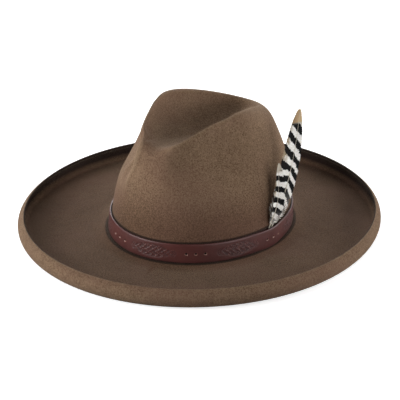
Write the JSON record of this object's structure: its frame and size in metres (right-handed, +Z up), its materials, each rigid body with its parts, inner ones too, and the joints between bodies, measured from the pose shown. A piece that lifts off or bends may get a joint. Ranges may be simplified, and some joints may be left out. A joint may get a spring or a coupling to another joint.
{
  "type": "wide-brimmed homburg hat",
  "caption": "Felt hat with a creased and pinched crown, a wide brim with a rolled edge, a leather band and two barred feathers.",
  "frame": {"origin": "centre of the hat in plan, on the flat underside of the brim that it rests on", "axes": "+Z up through the crown, -Y to the front of the hat, +X to the wearer's left, where the feathers are"},
  "size_m": [0.344, 0.389, 0.1321],
  "materials": {
    "felt": "brushed fur felt, matt, taupe brown",
    "band_leather": "tooled leather, dark red brown, soft gloss",
    "barred_feather": "cream vane with black bars, satin"
  },
  "bodies": {
    "root": {"felt_body": "felt", "hat_band": "band_leather", "large_feather": "barred_feather", "small_feather": "barred_feather"}
  },
  "joints": []
}
